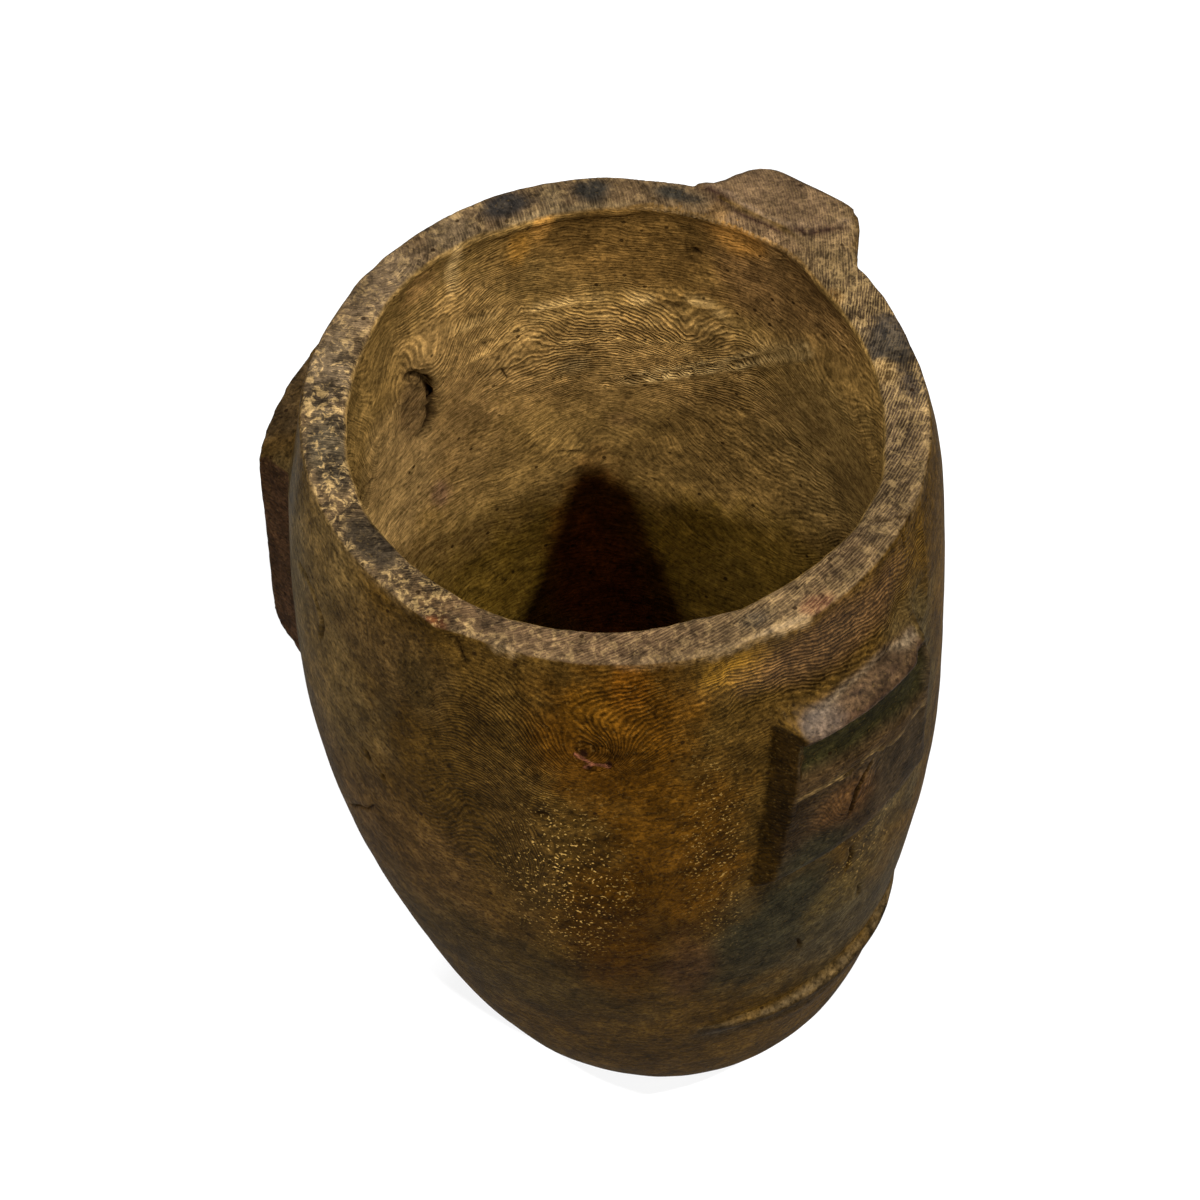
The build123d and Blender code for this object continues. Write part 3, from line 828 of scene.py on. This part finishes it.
    # the outside is more strongly mottled than the hollow and the rim
    plainPart = addNode(tree, "Math", {0: painted["hollow"], 1: rim}, operation="MAXIMUM")[0]
    contrast = addNode(tree, "MapRange", {"Value": plainPart, "To Min": 1.55, "To Max": 1.15})[0]
    shade = addNode(tree, "Math", {0: shade, 1: contrast}, operation="POWER")[0]
    part = addNode(tree, "MapRange", {"Value": fibre, "From Min": 0.36, "From Max": 0.64, "To Min": 0.55, "To Max": 1.5})[0]
    part = addNode(tree, "Math", {0: part, 1: painted["fibreShare"]}, operation="POWER")[0]
    shade = addNode(tree, "Math", {0: shade, 1: part}, operation="MULTIPLY")[0]
    shadeColour = addNode(tree, "CombineColor", {0: shade, 1: shade, 2: shade})[0]
    base = addNode(tree, "Mix", {0: 1.0, 6: base, 7: shadeColour}, data_type="RGBA", blend_type="MULTIPLY")[2]
    base = addNode(tree, "Mix", {0: painted["crackShade"], 6: base, 7: settings["crackColour"]}, data_type="RGBA")[2]

    # pin holes, and specks of dried resin, painted bright as glints
    cells = addNode(tree, "TexVoronoi", {"Vector": place, "Scale": 1 / (6.5 * mm)})
    pinHoles = addNode(tree, "MapRange", {"Value": cells["Distance"], "From Min": 0.14, "From Max": 0.10, "To Max": 0.8})[0]
    chosen = addNode(tree, "SeparateColor", {0: cells["Color"]})[0]
    chosen = addNode(tree, "MapRange", {"Value": chosen, "From Min": 0.60, "From Max": 0.63})[0]
    pinHoles = addNode(tree, "Math", {0: pinHoles, 1: chosen}, operation="MULTIPLY")[0]
    base = addNode(tree, "Mix", {0: pinHoles, 6: base, 7: settings["crackColour"]}, data_type="RGBA")[2]
    glitter = addNode(tree, "TexNoise", {"Vector": place, "W": 9.0, "Scale": 1 / (settings["speck"] * mm), "Detail": 1.0},
                      noise_dimensions="4D")[0]
    glitter = addNode(tree, "MapRange", {"Value": glitter, "From Min": 0.63, "From Max": 0.68})[0]
    resin = addNode(tree, "Math", {0: glitter, 1: painted["specks"]}, operation="MULTIPLY")[0]
    base = addNode(tree, "Mix", {0: resin, 6: base, 7: settings["resinGlintColour"]}, data_type="RGBA")[2]

    height = addNode(tree, "Math", {0: ridge, 1: painted["openGrain"]}, operation="MULTIPLY")[0]
    height = addNode(tree, "Math", {0: height, 1: 0.35, 2: fibre}, operation="MULTIPLY_ADD")[0]
    height = addNode(tree, "Math", {0: noises["pore"], 1: 0.9, 2: height}, operation="MULTIPLY_ADD")[0]
    height = addNode(tree, "Math", {0: noises["fleck"], 1: 1.2, 2: height}, operation="MULTIPLY_ADD")[0]
    bump = addNode(tree, "Bump", {"Height": height, "Strength": 0.9, "Distance": 0.6 * mm})[0]
    rough = addNode(tree, "Mix", {0: painted["hollow"], 2: settings["roughOutside"], 3: settings["roughInside"]}, data_type="FLOAT")[0]
    rough = addNode(tree, "Math", {0: painted["glossy"], 1: -0.16, 2: rough}, operation="MULTIPLY_ADD")[0]
    rough = addNode(tree, "Math", {0: fibre, 1: 0.14, 2: rough}, operation="MULTIPLY_ADD")[0]
    film = addNode(tree, "Math", {0: painted["glossy"], 1: settings["polish"]}, operation="MULTIPLY")[0]
    shader = addNode(tree, "BsdfPrincipled", {
        "Base Color": base, "Roughness": rough, "Normal": bump, "IOR": 1.5, "Specular IOR Level": settings["specular"],
        "Coat Weight": film, "Coat Roughness": 0.38})
    addNode(tree, "OutputMaterial", {0: shader[0]})
    return material


# hardwood carved green, then darkened by smoke, milk fat and hands: it is matt inside,
# satin outside and polished where it was held, and its open grain catches the light
pailMaterial = carvedWood("fatCuredHardwood", wood)
carvedPail.data.materials.clear()
carvedPail.data.materials.append(pailMaterial)
selectOnly(carvedPail)
bpy.ops.object.shade_smooth()
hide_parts("pail_body")
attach(carvedPail, "root")

print("knots")
knots = {
    "sideKnot": {"node": "side_knot", "azimuth": 175.5, "depth": 70.0, "radius": 9.5, "mesh": 0.9,
                 "spread": 2.8, "hollow": True, "tilt": 0.05, "bulge": 0.2},
    "frontKnot": {"node": "front_knot", "azimuth": 300.0, "depth": 41.0, "radius": 4.8, "mesh": 0.5,
                  "spread": 1.2, "hollow": False, "tilt": 0.0, "bulge": -0.2,
                  # mm across and down from the knot's middle, then pits as mm across, up and radius
                  "splinters": [[(-4.6, -1.8), (-0.4, 1.6)], [(0.4, 2.0), (4.8, 2.6)], [(-2.0, 3.4), (-0.4, 2.0)]],
                  "pits": [(-2.6, 2.6, 1.5), (4.2, -1.2, 1.1), (-1.2, -3.4, 0.9)]},
}
# dead branch ends: the same wood, but rawer, with no polish and a redder, darker heart
knotWood = dict(wood, roughOutside=0.7, roughInside=0.8, crackColour="#1a0c05")
knotMaterial = carvedWood("rawKnotWood", knotWood)
for newName, knot in knots.items():
    piece = copyNode(knot["node"], newName)
    applyModifier(piece, "REMESH", mode="VOXEL", voxel_size=knot["mesh"] * mm)
    knotPoints = readPoints(piece) / mm
    spot = placeOf(knotPoints)
    sideways = across(spot, knot["azimuth"])
    upward = knot["depth"] - spot["depth"]
    reach = np.hypot(sideways, upward)
    shown = spot["radius"] < 96 if knot["hollow"] else spot["radius"] > 106
    # it fills its socket, and the crescent gap is cut along its edge and into the wall
    grow = knot["spread"] * smoothStep(2, 6, reach) / np.maximum(reach, 1)
    tangent = np.stack([-spot["outward"][:, 1], spot["outward"][:, 0], 0 * sideways], 1)
    knotPoints += tangent * (sideways * grow)[:, None]
    knotPoints[:, 2] += upward * grow
    dome = np.clip(1 - (reach / knot["radius"]) ** 2, -0.2, 1)
    if knot["hollow"]:
        gap = np.exp(-(lineDistance(spot, insideCracks[0]["line"], 94)[0] / insideCracks[0]["width"]) ** 2)
        push = knot["tilt"] * np.maximum(7 - sideways, 0) - knot["bulge"] * dome + insideCracks[0]["cut"] * gap
        push += 1.6 * patch(spot, 173.5, 74, 8, 17, 0.5)
    else:
        push = knot["bulge"] * dome
    rough = 0.35 * ripple(knotPoints, 3.5, 51) + 0.25 * ripple(knotPoints, 1.5, 52)
    knotPoints += spot["outward"] * (shown * (push + rough))[:, None]
    knotPoints = np.clip(knotPoints, np.array(cadLow) / mm, np.array(cadHigh) / mm)
    setPoints(piece, knotPoints)
    spot = placeOf(knotPoints)
    if knot["hollow"]:
        spot["inside"] = np.ones(len(knotPoints), bool)
        colours = mixTones(wood["inside"], insideTones, spot, spot["depth"])
        # painted shade in the dish, as on the wall around the knot
        colours = tint(colours, patch(spot, 173.5, 74, 8, 17, 0.5) * 0.75, "#4a3720")
        shade = 0.85 * gap ** 0.7
    else:
        spot["inside"] = spot["radius"] < 100
        colours = mixTones(wood["outside"], outsideTones, spot, spot["depth"])
        colours = np.where(spot["inside"][:, None], mixTones(wood["inside"], insideTones, spot, spot["depth"]), colours)
        colours = tint(colours, patch(spot, 300.3, 40.5, 9, 7, 0.6) * 0.35, "#3a2309")
        shade = 0 * reach
        for splinter in knot["splinters"]:
            distance, share = lineDistance({"azimuth": sideways, "depth": -upward}, splinter, 57.3)
            colours = tint(colours, shown * smoothStep(0.9, 0.4, distance) * 0.85, "#734530")
        for pitAcross, pitUp, size in knot["pits"]:
            shade = np.maximum(shade, shown * smoothStep(size, size * 0.5, np.hypot(sideways - pitAcross, (upward - pitUp) * 0.8)))
    paintWood(piece, spot, 0 * reach, shade, 0 * reach, colours, colours)
    piece.data.materials.clear()
    piece.data.materials.append(knotMaterial)
    selectOnly(piece)
    bpy.ops.object.shade_smooth()
    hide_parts(knot["node"])
    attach(piece, "root")
bpy.data.objects.remove(solidCopy)

print("floor, world and lamps")
room = {
    "floorSize": 12.0,
    "worldStrength": 0.14,
    "floorBounce": 0.15,      # how much light the floor sends back to the pail
    "floorGlow": 0.6,         # share of the floor that shows plain white
    "lampDistance": 2.4,
    "aim": (-0.017, -0.012, 0.25),
    "lamps": [
        # name, azimuth, elevation, size in m, watts
        ("lampFront", 334, 41, 0.10, 42),
        ("lampLeft", 282, 42, 0.10, 31),
        ("lampRight", 8.5, 57, 0.08, 44),
        ("lampHigh", 239.5, 60, 0.08, 31),
        ("lampBehind", 124, 34, 0.5, 30),
    ],
}
bpy.ops.object.select_all(action="DESELECT")
bpy.ops.mesh.primitive_plane_add(size=room["floorSize"])
floor = bpy.context.active_object
floor.name = "floor"
floorMaterial = bpy.data.materials.new("paleFloor")
floorMaterial.use_nodes = True
tree = floorMaterial.node_tree
tree.nodes.clear()
seen = addNode(tree, "LightPath")
direct = addNode(tree, "Math", {0: seen["Is Camera Ray"], 1: seen["Is Glossy Ray"]}, operation="MAXIMUM")[0]
direct = addNode(tree, "Math", {0: direct, 1: seen["Is Transmission Ray"]}, operation="MAXIMUM")[0]
bounce = room["floorBounce"]
paleColour = addNode(tree, "Mix", {0: direct, 6: (bounce, bounce, bounce, 1), 7: (0.9, 0.9, 0.9, 1)}, data_type="RGBA")[2]
matt = addNode(tree, "BsdfDiffuse", {"Color": paleColour})[0]
white = addNode(tree, "Emission", {"Strength": 1.0})[0]
share = addNode(tree, "Math", {0: direct, 1: room["floorGlow"]}, operation="MULTIPLY")[0]
addNode(tree, "OutputMaterial", {0: addNode(tree, "MixShader", {0: share, 1: matt, 2: white})[0]})
floor.data.materials.append(floorMaterial)

world = bpy.data.worlds.new("softRoom")
world.use_nodes = True
bpy.context.scene.world = world
tree = world.node_tree
tree.nodes.clear()
seen = addNode(tree, "LightPath")
direct = addNode(tree, "Math", {0: seen["Is Camera Ray"], 1: seen["Is Glossy Ray"]}, operation="MAXIMUM")[0]
direct = addNode(tree, "Math", {0: direct, 1: seen["Is Transmission Ray"]}, operation="MAXIMUM")[0]
fill = addNode(tree, "Background", {"Color": (1, 1, 1, 1), "Strength": room["worldStrength"]})[0]
shown = addNode(tree, "Background", {"Color": (1, 1, 1, 1), "Strength": 1.0})[0]
addNode(tree, "OutputWorld", {0: addNode(tree, "MixShader", {0: direct, 1: fill, 2: shown})[0]})

for name, azimuth, elevation, size, watts in room["lamps"]:
    lampData = bpy.data.lights.new(name, "AREA")
    lampData.shape = "DISK"
    lampData.size = size
    lampData.energy = watts
    lamp = bpy.data.objects.new(name, lampData)
    turn, rise = math.radians(azimuth), math.radians(elevation)
    out = Vector((math.cos(turn) * math.cos(rise), math.sin(turn) * math.cos(rise), math.sin(rise)))
    lamp.location = Vector(room["aim"]) + out * room["lampDistance"]
    lamp.rotation_euler = out.to_track_quat("Z", "Y").to_euler()
    bpy.context.scene.collection.objects.link(lamp)

bpy.context.scene.view_settings.view_transform = "Standard"
bpy.context.view_layer.update()
print("CAD box", [round(v / mm, 1) for v in (*cadLow, *cadHigh)])
